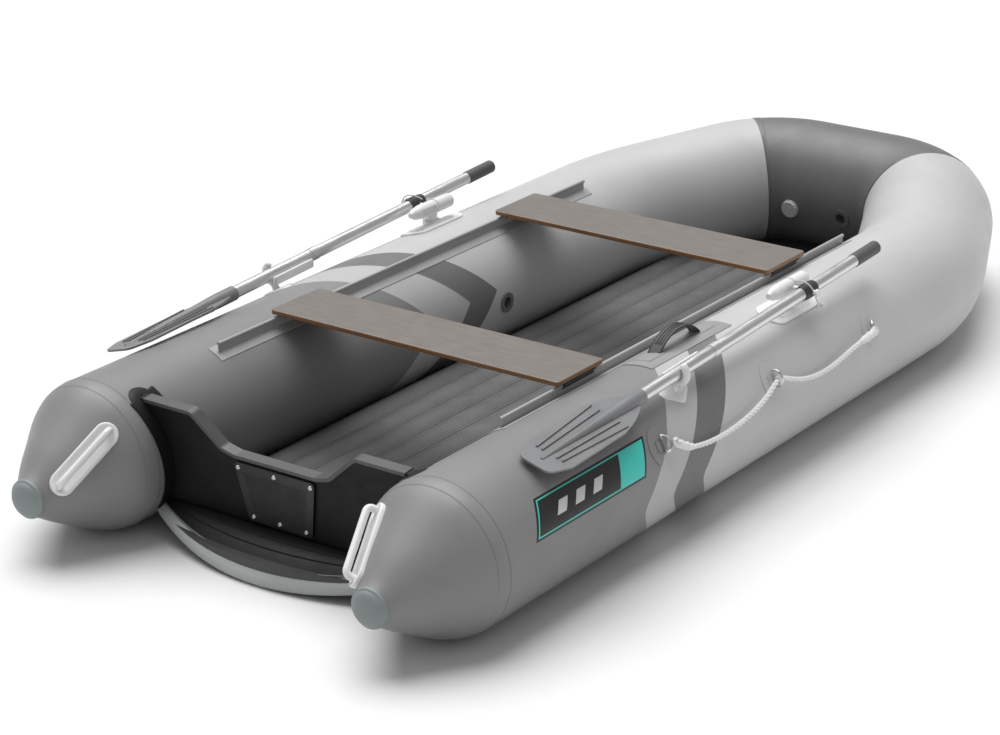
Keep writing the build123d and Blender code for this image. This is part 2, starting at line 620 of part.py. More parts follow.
def oar_blade():
    """Flat blade with a socket over the shaft, a tapering spine and two ribs each side."""
    length = blade_tip - blade_root
    half = [(20, 0), (34, -24), (50, -66), (blade_half, -120), (blade_half, -length + 60), (40, -length)]
    points = half + [(-x, y) for x, y in reversed(half)]
    face = make_face(Polyline(*points, close=True))
    face = fillet([v for v in face.vertices() if v.Y >= -length + blade_half], 12)
    face = fillet([v for v in face.vertices() if v.Y < -length + blade_half], blade_tip_round)
    flat = Plane(origin=(0, 0, 0), x_dir=(1, 0, 0), z_dir=(0, -1, 0))
    blade = Pos(0, blade_t / 2, 0) * extrude(flat * face, blade_t)
    socket = Cylinder(socket_r, socket_len)
    spine = Pos(0, 0, -socket_len / 2 - (length - socket_len) / 2) * Cone(
        5, socket_r, length - socket_len)
    ribs = [Pos(side * shift, 0, -length / 2 - 20) * Rot(0, side * lean, 0) * Box(4, blade_t + 7, length * 0.6)
            for side in (-1, 1) for shift, lean in ((24, 2), (43, 4))]
    solid = blade + socket + spine
    for rib in ribs:
        solid += rib
    bore = oar_bar(shaft_r, -blade_root - socket_len / 2, -blade_root + socket_len)
    return oar_plane(-blade_root, blade_roll) * solid - bore


# Rowlocks and clips ---------------------------------------------------------------------------
def boss_top():
    return pivot_z - pod_r - 16


def rowlock_base():
    """Oval pad glued on the tube's shoulder, with a round boss for the swivel."""
    plane = tube_plane(pivot_y, base_angle)
    inner = tube_r + glue_gap
    outline = extrude(SlotOverall(base_len, base_w), 60, both=True)
    pad = tube_skin(pivot_y - base_len, pivot_y + base_len, inner, inner + base_t) & (plane * outline)
    step = tube_skin(pivot_y - base_len, pivot_y + base_len, inner, inner + base_t + 2) & (
        plane * extrude(SlotOverall(base_len - 60, base_w - 24), 60, both=True))
    boss_foot = tube_r
    boss = Pos(swivel_x, pivot_y, (boss_top() + boss_foot) / 2) * Cylinder(boss_r, boss_top() - boss_foot)
    return (pad + step + boss) - along_y(inner, pivot_y - base_len, pivot_y + base_len)


def rowlock_swivel():
    """Boat-shaped pod on a short neck, with the steel stud that carries the oar."""
    outline = Polyline((0, -pod_aft), (7, -pod_aft + 1), (15, -pod_aft + 16), (pod_r, -pod_aft + 42),
                       (pod_r, 4), (pod_r - 4, 6), (pod_r - 4, 11), (pod_r, 13), (pod_r, pod_fore - 8),
                       (pod_r - 5, pod_fore), (0, pod_fore), close=True)
    pod = revolve(Plane.XY * make_face(outline), axis=Axis.Y)
    pocket = Pos(-pod_r, -30, 1) * Box(9, 58, 18)
    neck_len = pivot_z - boss_top() - swivel_gap
    neck = Pos(0, 0, -neck_len / 2) * Cylinder(boss_r - 8, neck_len)
    stud_len = oar_x + sleeve_r + 8 - swivel_x
    stud = Pos(stud_len / 2, 0, 0) * Rot(0, 90, 0) * Cylinder(stud_r, stud_len)
    knob = Pos(stud_len + 2, 0, 0) * Rot(0, 90, 0) * Cylinder(stud_knob_r, 5)
    return Pos(swivel_x, pivot_y, pivot_z) * (pod - pocket + neck + stud + knob)


def clip_post(x, y, wide, long, top):
    """A block of the clip from the tube's centre height up to top; the tube is cut out of it later."""
    return Pos(x, y, (tube_r + top) / 2) * Box(wide, long, top - tube_r)


def oar_clip():
    """Open clip on the tube's shoulder: plate, saddle, inboard bar and outboard arm."""
    inner = tube_r + glue_gap
    plane = tube_plane(clip_y, clip_angle)
    plate = tube_skin(clip_y - clip_plate_l, clip_y + clip_plate_l, inner, inner + clip_plate_t) & (
        plane * extrude(RectangleRounded(clip_plate_l, clip_plate_w, 22), 60, both=True))
    shaft_z = pivot_z + (clip_y - pivot_y) * oar_slope
    gap = shaft_r + clip_gap
    saddle = clip_post(oar_x, clip_y, 18, clip_arm_w, shaft_z - gap)
    arm = clip_post(oar_x + gap + clip_wall / 2, clip_y, clip_wall, clip_arm_w, shaft_z + shaft_r - 2)
    bar_y = clip_y - clip_plate_l / 4 + clip_bar_len / 2
    bar = clip_post(oar_x - gap - clip_wall / 2, bar_y, clip_wall, clip_bar_len, shaft_z + 2)
    return (plate + saddle + arm + bar) - along_y(inner, clip_y - 200, clip_y + 300)


# Ropes ----------------------------------------------------------------------------------------
def lifeline_route():
    """Hand-laid route of the starboard lifeline: station, angle round the tube, distance from its axis."""
    stops = [(892, 24, 204), (930, 17, 200), (1000, 13, 198), (1090, 11.5, 197.5), (1190, 13.5, 198),
             (1280, 19, 199), (1349, 27.3, 200.2), (1400, 21, 199.5), (1460, 15.5, 198), (1540, 13, 197.5),
             (1621, 14.5, 198), (1700, 18, 199), (1755, 19, 200), (1791, 20.5, 204)]
    return [(round_tube(angle, radius)[0], y, round_tube(angle, radius)[1]) for y, angle, radius in stops]


def leash_route():
    """Hand-laid route of the retaining cord, counted from the pivot: over the sleeve and down."""
    steps = [(-31, -7, 19.5), (-15, -13, 28), (3, -16, 28), (19, -17, 22), (29, -16, 9), (35, -15, -7),
             (37, -11, -21), (39, -1, -29)]
    return [(oar_x + x, pivot_y + y, pivot_z + z) for x, y, z in steps]


def cord(name, points, diameter):
    """Round cord along straight runs joined by tangent arcs."""
    route = [Vector(*p) for p in points]
    radii = []
    for before, here, after in zip(route, route[1:], route[2:]):
        into, out = here - before, after - here
        turn = radians(into.get_angle(out))
        radii.append(0.45 * min(into.length, out.length) / tan(turn / 2))
    path = FilletPolyline(*points, radius=radii)
    section = Plane(origin=points[0], z_dir=route[1] - route[0]) * Circle(diameter / 2)
    solid = sweep(section, path=path)
    expected = pi * diameter**2 / 4 * path.length
    print(name, "length", round(path.length, 1), "radii", [round(r) for r in radii],
          "volume/expected", round(solid.volume / expected, 4))
    return solid


def leash_knot():
    x, y, z = leash_route()[-1]
    return Pos(x + 1.5, y + knot_r + 0.6, z - 2.4) * Sphere(knot_r)


# Write every node ----------------------------------------------------------------------------
os.makedirs("parts", exist_ok=True)

aft_panel, fore_panel, bow_half = hull_panels()
for side, turn_over in (("starboard", lambda s: s), ("port", mirrored)):
    save(f"tube_aft_{side}", turn_over(aft_panel))
    save(f"tube_fore_{side}", turn_over(fore_panel))
capped_valve = bow_plane(bow_capped_x, bow_valve_angle)
open_valve = bow_plane(bow_open_x, bow_valve_angle)
bow = bow_half + mirrored(bow_half) - valve_hole(capped_valve) - valve_hole(open_valve)
save("tube_bow", bow)
save("bow_bulkheads", bow_bulkhead(), mirrored(bow_bulkhead()))
both_sides("stern_cone", cone)
both_sides("cone_cap", cone_cap)

save("transom_board", transom_board())
save("transom_trim", transom_trim())
flaps = transom_flaps()
save("transom_flaps", *flaps, *[mirrored(f) for f in flaps])
save("motor_pad", motor_pad())
save("pad_screws", *pad_screws())

save("air_bottom", air_bottom())
save("keel_strip", keel_strip())
save("floor_mattress", floor_mattress())

both_sides("seat_rail", seat_rail)
for seat, edge in (("aft", seat_aft_y), ("fore", seat_fore_y)):
    slider = seat_slider(edge)
    save(f"seat_{seat}", seat_board(edge))
    save(f"seat_{seat}_sliders", slider, mirrored(slider))

both_sides("stern_handle", stern_handle)
save("carry_patch", carry_patch())
save("carry_webbing", carry_webbing())

patches = line_patches()
save("ring_patches", *patches, *[mirrored(p) for p in patches])
rings = line_rings()
save("line_rings", *rings, *[mirrored(r) for r in rings])

starboard_valve = tube_plane(valve_y, 180)
save("valve_starboard", valve_body(starboard_valve))
save("valve_starboard_cap", valve_cap(starboard_valve))
save("valve_port", mirrored(valve_body(starboard_valve)))
save("valve_port_plunger", mirrored(valve_plunger(starboard_valve)))
save("valve_bow_capped", valve_body(capped_valve))
save("valve_bow_cap", valve_cap(capped_valve))
save("valve_bow_open", valve_body(open_valve))
save("valve_bow_plunger", valve_plunger(open_valve))

both_sides("oar_blade", oar_blade)
both_sides("oar_shaft_lower", oar_shaft_lower)
both_sides("oar_shaft_upper", oar_shaft_upper)
both_sides("oar_sleeve", oar_sleeve)
both_sides("oar_grip", oar_grip)
both_sides("rowlock_base", rowlock_base)
both_sides("rowlock_swivel", rowlock_swivel)
both_sides("oar_clip", oar_clip)

both_sides("lifeline", lambda: cord("lifeline", lifeline_route(), line_d))
both_sides("leash", lambda: cord("leash", leash_route(), leash_d))
both_sides("leash_knot", leash_knot)
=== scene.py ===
"""Looks for the inflatable dinghy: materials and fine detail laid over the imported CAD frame.

Metres, in the CAD's own frame: +Y to the bow, +X to starboard, +Z up. Stations are measured
forward from the stern in millimetres, as the CAD counts them, and at() turns them into metres.
"""
from math import acos, asin, cos, degrees, pi, radians, sin, sqrt, tan

import bmesh
import bpy
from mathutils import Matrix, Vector


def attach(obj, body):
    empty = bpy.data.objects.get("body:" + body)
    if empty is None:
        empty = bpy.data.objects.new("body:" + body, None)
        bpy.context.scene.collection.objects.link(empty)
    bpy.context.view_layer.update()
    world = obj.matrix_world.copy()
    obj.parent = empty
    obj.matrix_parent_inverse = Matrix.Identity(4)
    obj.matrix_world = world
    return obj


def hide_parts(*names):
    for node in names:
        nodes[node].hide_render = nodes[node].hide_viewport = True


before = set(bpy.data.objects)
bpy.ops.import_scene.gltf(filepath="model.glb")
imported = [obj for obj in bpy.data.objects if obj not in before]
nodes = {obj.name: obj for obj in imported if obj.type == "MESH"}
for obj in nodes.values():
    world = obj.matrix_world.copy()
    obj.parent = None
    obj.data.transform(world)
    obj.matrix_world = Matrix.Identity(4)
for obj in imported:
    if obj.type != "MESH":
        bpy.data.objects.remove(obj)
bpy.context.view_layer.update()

# ---- sizes shared with the CAD, in millimetres ----------------------------------------------
AMIDSHIPS = 1528.25
TUBE_R, TUBE_X = 182.5, 497.0
KNEE_Y, KNEE_BEND = 2373.0, 620.0
BOW_CORNER, CORNER_BEND = (273.3, 2882.0, 212.0), 235.0
CONE_Y = 250.0
CARRY_X, CARRY_AFT, CARRY_FORE, CARRY_RISE = 470.0, 1112.0, 1300.0, 44.0
RING_STATIONS = ((860.0, 27.3), (1349.0, 27.3), (1823.0, 22.0))
PIVOT = (605.0, 1593.0, 407.0)
OAR_SLOPE = 0.045
LINE_D, LEASH_D = 0.013, 0.0035
CONE_TIP, CONE_TIP_Y, CONE_TIP_R = (492.0, 157.0), 8.0, 45.0
CONE_RUN = 202.0          # from the cone's tip to where its centreline meets the tube's
CONE_SHAPE = ((CONE_TIP_Y, CONE_TIP_R), (60.0, 80.0), (110.0, 114.0), (155.0, 144.0), (190.0, 166.0),
              (222.0, 179.0), (CONE_Y, TUBE_R))   # station, radius
BOW_SEAM, TAPE_HALF = 286.0, 12.0
TRANSOM_Y, TRANSOM_TOP, RAKE = 280.0, 335.0, 0.12
UP_BOARD = sqrt(1 + RAKE**2)
PAD_T = 7.0               # the motor pad stands this far off the board
PAD_FOOT, PAD_HEIGHT, PAD_HALF, PAD_FLARE = 98, 145, 92, 25    # half width at the foot; it widens upward
SCREW_ROWS = ((231.0, 105.0), (110.0, 77.0))    # height, and reach to either side
CORNER_Y, CORNER_ANGLE, CORNER_R = 290, 126, 36    # patch over each end of the transom's top
BOTTOM_HALF, BOTTOM_AFT, BOTTOM_BOW = 356.0, 200.0, 90.0   # half width, aft end on the centreline,
                          # and how far forward of it the edge lies beside the tubes
BOTTOM_KEEL_Z, BOTTOM_LIFT = 3.0, 47.0    # height on the centreline, and the rise to the tubes
BOARD_FOOT = (306.0, 88.0)    # station and height where the apron meets the transom
CLIP_Y, CLIP_ANGLE, CLIP_REACH = 1008.0, 59.0, 24.5    # station, degrees, hook radius and bar offset


def at(x, y, z):
    """A point given in millimetres from the stern, in metres."""
    return Vector((x / 1000, (y - AMIDSHIPS) / 1000, z / 1000))


def on_tube(y, angle, lift=0.0, side=1):
    """A point on a straight side tube: 0 degrees is outboard, 90 the crown, 180 inboard."""
    radius = TUBE_R + lift
    return at(side * (TUBE_X + radius * cos(radians(angle))), y, TUBE_R + radius * sin(radians(angle)))


def tube_normal(angle, side=1):
    return Vector((side * cos(radians(angle)), 0, sin(radians(angle))))


# ---- camera ---------------------------------------------------------------------------------
def make_camera():
    data = bpy.data.cameras.new("camera")
    data.sensor_width = 36
    data.lens = 103.32
    data.shift_x = -0.09
    data.shift_y = 0.0125
    data.clip_end = 100
    camera = bpy.data.objects.new("camera", data)
    camera.location = (3.8988, -4.1684 - AMIDSHIPS / 1000, 2.805)
    camera.rotation_euler = (radians(68.291), 0, radians(34.347))
    bpy.context.scene.collection.objects.link(camera)
    bpy.context.scene.camera = camera


make_camera()


# ---- mesh helpers ---------------------------------------------------------------------------
def add_mesh(name, verts, faces, body, material, smooth=True):
    mesh = bpy.data.meshes.new(name)
    mesh.from_pydata([tuple(v) for v in verts], [], faces)
    mesh.materials.append(material)
    mesh.polygons.foreach_set("use_smooth", [smooth] * len(mesh.polygons))
    shell = bmesh.new()
    shell.from_mesh(mesh)
    bmesh.ops.recalc_face_normals(shell, faces=shell.faces)
    shell.to_mesh(mesh)
    shell.free()
    mesh.update()
    obj = bpy.data.objects.new(name, mesh)
    bpy.context.scene.collection.objects.link(obj)
    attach(obj, body)
    return obj


def bevel(obj, width, segments=2, angle=35):
    mod = obj.modifiers.new("edges", "BEVEL")
    mod.width = width
    mod.segments = segments
    mod.limit_method = "ANGLE"
    mod.angle_limit = radians(angle)
    return obj


def frames_along(path):
    """Tangents and steady normals along a list of points."""
    tangents = []
    for i in range(len(path)):
        a = path[max(i - 1, 0)]
        b = path[min(i + 1, len(path) - 1)]
        tangents.append((b - a).normalized())
    normal = tangents[0].orthogonal().normalized()
    frames = []
    for t in tangents:
        normal = (normal - t * normal.dot(t)).normalized()
        frames.append((t, normal, t.cross(normal)))
    return frames


def tube_along(path, radius_at, around=12):
    """Verts and faces of a tube round a path; radius_at(step, angle) gives its radius."""
    verts, faces = [], []
    frames = frames_along(path)
    for i, (point, (t, n, b)) in enumerate(zip(path, frames)):
        for j in range(around):
            angle = 2 * pi * j / around
            verts.append(point + (n * cos(angle) + b * sin(angle)) * radius_at(i, angle))
    rows = len(path)
    for i in range(rows - 1):
        for j in range(around):
            k = (j + 1) % around
            faces.append((i * around + j, i * around + k, (i + 1) * around + k, (i + 1) * around + j))
    faces.append(tuple(range(around))[::-1])
    faces.append(tuple((rows - 1) * around + j for j in range(around)))
    return verts, faces


def spline_points(control, steps=6):
    """Points along the NURBS spline that has these control points."""
    curve = bpy.data.curves.new("route", "CURVE")
    curve.dimensions = "3D"
    curve.resolution_u = steps
    spline = curve.splines.new("NURBS")
    spline.points.add(len(control) - 1)
    for point, place in zip(spline.points, control):
        point.co = (*place, 1)
    spline.order_u = 3
    spline.use_endpoint_u = True
    holder = bpy.data.objects.new("route", curve)
    mesh = bpy.data.meshes.new_from_object(holder)
    points = [v.co.copy() for v in mesh.vertices]
    bpy.data.objects.remove(holder)
    return points


def even_steps(path, step):
    """The same path, resampled at even spacing."""
    out = [path[0]]
    spare = 0.0
    for a, b in zip(path, path[1:]):
        length = (b - a).length
        place = step - spare
        while place <= length:
            out.append(a.lerp(b, place / length))
            place += step
        spare = (spare + length) % step
    out.append(path[-1])
    return out


def rope(name, path, diameter, body, material, strands=3, lay=3.4):
    """Twisted rope: strands laid round each other, one turn every lay diameters."""
    steps = even_steps(path, diameter * 0.22)
    strand_r = diameter * 0.27
    offset = diameter / 2 - strand_r
    frames = frames_along(steps)
    verts, faces = [], []
    travelled = 0.0
    centres = [[] for _ in range(strands)]
    for i, (point, (t, n, b)) in enumerate(zip(steps, frames)):
        travelled += 0 if i == 0 else (point - steps[i - 1]).length
        turn = 2 * pi * travelled / (lay * diameter)
        for s in range(strands):
            phase = turn + 2 * pi * s / strands
            centres[s].append(point + (n * cos(phase) + b * sin(phase)) * offset)
    for line in centres:
        more, quads = tube_along(line, lambda i, a: strand_r, around=8)
        faces += [tuple(k + len(verts) for k in f) for f in quads]
        verts += more
    return add_mesh(name, verts, faces, body, material)


# ---- material helpers -----------------------------------------------------------------------
class Nodes:
    """Short calls for building a node material on the object's own coordinates."""

    def __init__(self, name):
        self.material = bpy.data.materials.new(name)
        self.material.use_nodes = True
        self.tree = self.material.node_tree
        self.shader = self.tree.nodes["Principled BSDF"]
        self.place = self.tree.nodes.new("ShaderNodeTexCoord").outputs["Object"]

    def put(self, value, socket):
        if isinstance(value, bpy.types.NodeSocket):
            self.tree.links.new(value, socket)
        elif value is not None:
            socket.default_value = value

    def math(self, operation, a, b=None, c=None):
        node = self.tree.nodes.new("ShaderNodeMath")
        node.operation = operation
        for value, socket in zip((a, b, c), node.inputs):
            self.put(value, socket)
        return node.outputs[0]

    def axes(self, source=None):
        node = self.tree.nodes.new("ShaderNodeSeparateXYZ")
        self.put(source or self.place, node.inputs[0])
        return node.outputs

    def vector(self, x, y, z):
        node = self.tree.nodes.new("ShaderNodeCombineXYZ")
        for value, socket in zip((x, y, z), node.inputs):
            self.put(value, socket)
        return node.outputs[0]

    def noise(self, scale, detail=3.0, rough=0.55, place=None):
        node = self.tree.nodes.new("ShaderNodeTexNoise")
        self.put(place or self.place, node.inputs["Vector"])
        node.inputs["Scale"].default_value = scale
        node.inputs["Detail"].default_value = detail
        node.inputs["Roughness"].default_value = rough
        return node.outputs["Fac"]

    def ramp(self, value, low, high, to_low=0.0, to_high=1.0):
        node = self.tree.nodes.new("ShaderNodeMapRange")
        for v, socket in zip((value, low, high, to_low, to_high), node.inputs):
            self.put(v, socket)
        return node.outputs[0]

    def mix(self, share, a, b):
        node = self.tree.nodes.new("ShaderNodeMix")
        node.data_type = "RGBA"
        self.put(share, node.inputs[0])
        self.put(a, node.inputs[6])
        self.put(b, node.inputs[7])
        return node.outputs[2]

    def weave(self, pitch):
        """Height of a plain weave seen on all faces."""
        x, y, z = self.axes()
        across = self.math("ADD", x, z)
        warp = self.math("SINE", self.math("MULTIPLY", across, 2 * pi / pitch))
        weft = self.math("SINE", self.math("MULTIPLY", y, 2 * pi / pitch))
        return self.math("MULTIPLY", warp, weft)

    def bump(self, height, distance, strength=0.5):
        node = self.tree.nodes.new("ShaderNodeBump")
        node.inputs["Strength"].default_value = strength
        node.inputs["Distance"].default_value = distance
        self.put(height, node.inputs["Height"])
        self.put(node.outputs[0], self.shader.inputs["Normal"])

    def finish(self, colour, rough, metallic=0.0, specular=0.5, sheen=0.0):
        self.put(colour, self.shader.inputs["Base Color"])
        self.put(rough, self.shader.inputs["Roughness"])
        self.shader.inputs["Metallic"].default_value = metallic
        self.shader.inputs["Specular IOR Level"].default_value = specular
        self.shader.inputs["Sheen Weight"].default_value = sheen
        return self.material


def grey(level, tint=(1, 1, 1)):
    return (level * tint[0], level * tint[1], level * tint[2], 1)


def plain(name, colour, rough=0.45, vary=0.12, grain=60.0, metallic=0.0, dent=0.0003, sheen=0.0):
    """Moulded or painted surface: slight mottling, fine grain, scuffed roughness."""
    n = Nodes(name)
    patchy = n.noise(7.0, 4)
    fine = n.noise(grain * 12, 2)
    darker = tuple(c * (1 - vary) for c in colour[:3]) + (1,)
    lighter = tuple(min(1, c * (1 + vary)) for c in colour[:3]) + (1,)
    tone = n.mix(n.ramp(patchy, 0.3, 0.7), darker, lighter)
    n.bump(fine, dent, 0.35)
    shine = n.ramp(n.noise(25.0, 3), 0.3, 0.7, rough - 0.06, rough + 0.08)
    return n.finish(tone, shine, metallic, sheen=sheen)


def woven(name, colour, pitch=0.0012, rough=0.7, vary=0.15, depth=0.0004):
    n = Nodes(name)
    weave = n.weave(pitch)
    tone = n.mix(n.ramp(weave, -1, 1), tuple(c * (1 - vary) for c in colour[:3]) + (1,), colour)
    n.bump(weave, depth, 0.6)
    return n.finish(tone, rough, sheen=0.2)


# stripes: (station of the rear tip, millimetres of station per degree round the tube)
STRIPES = ((775.0, 3.0), (893.0, 3.25), (1020.0, 3.2))
REAR_TIP, TIP_ROUND = -14.0, 8.0
AFT_GREY, LIGHT_STRIPE, DARK_STRIPE, FORE_GREY = 0.22, 0.49, 0.155, 0.54
BOW_GREY = 0.15


def hull_fabric():
    """Coated fabric in four greys, parted by stripes that wind round the tube in a chevron."""
    n = Nodes("hull_fabric")
    x, y, z = n.axes()
    out = n.math("SUBTRACT", n.math("ABSOLUTE", x), TUBE_X / 1000)
    up = n.math("SUBTRACT", z, TUBE_R / 1000)
    angle = n.math("MULTIPLY", n.math("ARCTAN2", up, out), 180 / pi)
    turned = n.math("SUBTRACT", angle, REAR_TIP)
    wrapped = n.math("FLOORED_MODULO", turned, 360.0)
    swing = n.math("SUBTRACT", 180.0, n.math("ABSOLUTE", n.math("SUBTRACT", wrapped, 180.0)))
    rounded = n.math("SUBTRACT", n.math("SQRT", n.math("ADD", n.math("MULTIPLY", swing, swing),
                                                      TIP_ROUND**2)), TIP_ROUND)
    station = n.math("ADD", n.math("MULTIPLY", y, 1000.0), AMIDSHIPS)
    patchy = n.noise(3.0, 5)
    tone = grey(AFT_GREY)
    edges = []
    for (base, pitch), level in zip(STRIPES, (LIGHT_STRIPE, DARK_STRIPE, FORE_GREY)):
        border = n.math("ADD", n.math("MULTIPLY", rounded, pitch), base)
        ahead = n.math("SUBTRACT", station, border)
        tone = n.mix(n.ramp(ahead, -0.6, 0.6), tone, grey(level, (1, 1, 1.004)))
        edges.append(n.ramp(n.math("ABSOLUTE", ahead), 0.0, 4.0, 1.0, 0.0))
    worn = n.mix(n.ramp(patchy, 0.35, 0.7, 0.0, 0.16), tone, grey(0.36))
    fine = n.math("ADD", n.math("MULTIPLY", n.weave(0.0016), 0.35), n.noise(900.0, 2))
    lap = edges[0]
    for edge in edges[1:]:
        lap = n.math("ADD", lap, edge)
    n.bump(n.math("ADD", fine, n.math("MULTIPLY", lap, 1.5)), 0.00025, 0.5)
    return n.finish(worn, n.ramp(n.noise(14.0, 4), 0.3, 0.7, 0.36, 0.5), specular=0.45)


def fabric(name, level, tint=(1, 1, 1), rough=0.42, specular=0.45):
    """Coated fabric of a single grey."""
    n = Nodes(name)
    tone = n.mix(n.ramp(n.noise(4.0, 5), 0.3, 0.7), grey(level * 0.9, tint), grey(level * 1.1, tint))
    n.bump(n.math("ADD", n.math("MULTIPLY", n.weave(0.0016), 0.35), n.noise(900.0, 2)), 0.00025, 0.5)
    return n.finish(tone, n.ramp(n.noise(14.0, 4), 0.3, 0.7, rough - 0.06, rough + 0.08), specular=specular)


def ribbed_floor():
    """Dark floor fabric with fine lengthwise pinstripes."""
    n = Nodes("floor_fabric")
    x = n.axes()[0]
    lines = n.math("SINE", n.math("MULTIPLY", x, 2 * pi / 0.006))
    tone = n.mix(n.ramp(n.noise(5.0, 4), 0.3, 0.7), grey(0.085), grey(0.125))
    tone = n.mix(n.ramp(lines, 0.2, 1.0, 0.0, 0.35), tone, grey(0.2))
    n.bump(n.math("ADD", lines, n.noise(700.0, 2)), 0.0005, 0.6)
    return n.finish(tone, n.ramp(n.noise(20.0, 3), 0.3, 0.7, 0.33, 0.5))


def seat_ply():
    """Film-faced plywood: smooth brown-grey faces, and bare layered edges."""
    n = Nodes("seat_plywood")
    x, y, z = n.axes()
    normal = n.tree.nodes.new("ShaderNodeTexCoord").outputs["Normal"]
    flat = n.ramp(n.math("ABSOLUTE", n.axes(normal)[2]), 0.55, 0.8)
    layers = n.math("SINE", n.math("MULTIPLY", z, 2 * pi / 0.0031))
    stretched = n.vector(n.math("MULTIPLY", x, 6.0), n.math("MULTIPLY", y, 6.0), n.math("MULTIPLY", z, 300.0))
    edge = n.mix(n.ramp(layers, -0.6, 0.6), (0.16, 0.075, 0.03, 1), (0.42, 0.21, 0.09, 1))
    edge = n.mix(n.ramp(n.noise(3.0, 4, place=stretched), 0.35, 0.7, 0.0, 0.5), edge, (0.1, 0.05, 0.025, 1))
    across = n.vector(n.math("MULTIPLY", x, 1.0), n.math("MULTIPLY", y, 14.0), z)
    film = n.mix(n.ramp(n.noise(16.0, 5, place=across), 0.3, 0.7), (0.165, 0.146, 0.132, 1),
                 (0.215, 0.191, 0.173, 1))
    n.bump(n.noise(500.0, 2), 0.0003, 0.3)
    return n.finish(n.mix(flat, edge, film), n.ramp(n.noise(18.0, 3), 0.3, 0.7, 0.28, 0.42))


def rope_material(name, level=0.78):
    n = Nodes(name)
    fibres = n.noise(900.0, 3)
    tone = n.mix(n.ramp(fibres, 0.3, 0.7), grey(level * 0.8), grey(level))
    n.bump(fibres, 0.0004, 0.6)
    return n.finish(tone, 0.75, sheen=0.3)


def brushed(name, level=0.8, rough=0.22):
    """Drawn aluminium or steel, brushed along the boat."""
    n = Nodes(name)
    x, y, z = n.axes()
    streak = n.noise(260.0, 3, place=n.vector(x, n.math("MULTIPLY", y, 0.03), z))
    tone = n.mix(n.ramp(streak, 0.3, 0.7), grey(level * 0.88), grey(level))
    n.bump(streak, 0.0001, 0.3)
    return n.finish(tone, n.ramp(streak, 0.3, 0.7, rough, rough + 0.14), 1.0)


def painted_ply():
    """Black textured paint over plywood."""
    n = Nodes("transom_paint")
    speck = n.noise(420.0, 3)
    tone = n.mix(n.ramp(n.noise(9.0, 5), 0.3, 0.7), grey(0.007), grey(0.013))
    n.bump(speck, 0.0006, 0.5)
    return n.finish(tone, n.ramp(n.noise(30.0, 3), 0.3, 0.7, 0.38, 0.55), specular=0.16)


HULL = hull_fabric()
BOW = fabric("bow_fabric", BOW_GREY)
DARK = fabric("bottom_fabric", 0.05)
BLACK_FABRIC = fabric("black_fabric", 0.011, rough=0.45, specular=0.22)
SEAM = fabric("seam_tape", 0.17)
FLOOR = ribbed_floor()
KEEL = fabric("keel_fabric", 0.42, (0.94, 1.0, 0.97))
CAP = plain("cap_rubber", (0.22, 0.255, 0.25, 1), 0.5)
PLY = seat_ply()
PAINT = painted_ply()
TRIM = plain("edge_profile", grey(0.07), 0.4)
WHITE = plain("white_plastic", grey(0.78), 0.34, vary=0.03, dent=0.0001)
OFF_WHITE = plain("grey_white_plastic", grey(0.6), 0.4, vary=0.05)
PAD = plain("pad_plastic", grey(0.01), 0.42)
VALVE_GREY = plain("valve_grey", grey(0.16), 0.4)
BLACK = plain("black_rubber", grey(0.03), 0.55)
RAIL = fabric("rail_profile", 0.42)
BLADE = plain("blade_plastic", (0.2, 0.203, 0.208, 1), 0.34)
ALU = brushed("oar_aluminium", 0.78, 0.28)
STEEL = brushed("ring_steel", 0.7, 0.2)
ROPE = rope_material("line_rope", 0.88)
CORD = rope_material("thin_cord", 0.7)
WEBBING = woven("handle_webbing", grey(0.12))
PATCH = fabric("patch_fabric", 0.30)
GRIP = plain("grip_foam", grey(0.09), 0.6, grain=40)

MATERIALS = {
    "tube_aft": HULL, "tube_fore": HULL, "stern_cone": HULL, "tube_bow": BOW, "bow_bulkheads": BOW,
    "cone_cap": CAP, "transom_board": PAINT, "transom_trim": TRIM, "transom_flaps": BLACK_FABRIC,
    "motor_pad": PAD, "pad_screws": STEEL, "air_bottom": DARK, "keel_strip": KEEL, "floor_mattress": FLOOR,
    "seat_aft_sliders": BLACK, "seat_fore_sliders": BLACK, "seat_aft": PLY, "seat_fore": PLY,
    "seat_rail": RAIL, "stern_handle": WHITE, "carry_patch": PATCH, "carry_webbing": WEBBING,
    "ring_patches": HULL, "line_rings": STEEL, "valve": OFF_WHITE, "valve_port": VALVE_GREY,
    "valve_port_plunger": BLACK, "valve_bow_open": VALVE_GREY, "valve_bow_plunger": BLACK,
    "oar_blade": BLADE, "oar_shaft": ALU,
    "oar_sleeve": BLACK, "oar_grip": GRIP, "rowlock": WHITE, "oar_clip": WHITE, "lifeline": ROPE,
    "leash": CORD,
}


def node_material(name):
    stem = max((k for k in MATERIALS if name.startswith(k)), key=len)
    return MATERIALS[stem]


for name, obj in nodes.items():
    obj.data.materials.clear()
    obj.data.materials.append(node_material(name))

# ---- cords ----------------------------------------------------------------------------------
# station, angle round the tube, distance from the tube's axis
LIFELINE = ((892, 24, 204), (930, 17, 200), (1000, 13, 198), (1090, 11.5, 197.5), (1190, 13.5, 198),
            (1280, 19, 199), (1349, 27.3, 200.2), (1400, 21, 199.5), (1460, 15.5, 198), (1540, 13, 197.5),
            (1621, 14.5, 198), (1700, 18, 199), (1755, 19, 200), (1791, 20.5, 204))
LEASH = ((574, 1586, 426.5), (590, 1580, 435), (608, 1577, 435), (624, 1576, 429), (634, 1577, 416),
         (640, 1578, 400), (642, 1582, 386), (644, 1592, 378))


